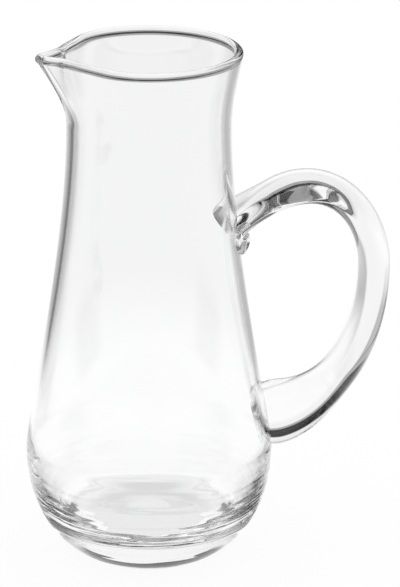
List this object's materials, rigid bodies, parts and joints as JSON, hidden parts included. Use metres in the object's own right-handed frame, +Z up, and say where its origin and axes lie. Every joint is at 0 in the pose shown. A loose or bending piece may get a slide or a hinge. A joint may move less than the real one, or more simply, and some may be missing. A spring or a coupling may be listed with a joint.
{
  "type": "glass jug",
  "caption": "Clear glass jug with a round belly, long tapered neck, beaded rim, pulled pouring lip and a looped glass handle, for serving beer, water or juice.",
  "frame": {"origin": "on the jug's axis, in the plane of the ring that it stands on", "axes": "+Z up along the jug's axis, +X towards the handle, -X towards the pouring lip, metres"},
  "size_m": [0.1779, 0.1186, 0.252],
  "materials": {
    "body_glass": "clear, fire-polished",
    "handle_glass": "clear, fire-polished"
  },
  "bodies": {
    "root": {"body": "body_glass", "handle": "handle_glass"}
  },
  "joints": []
}
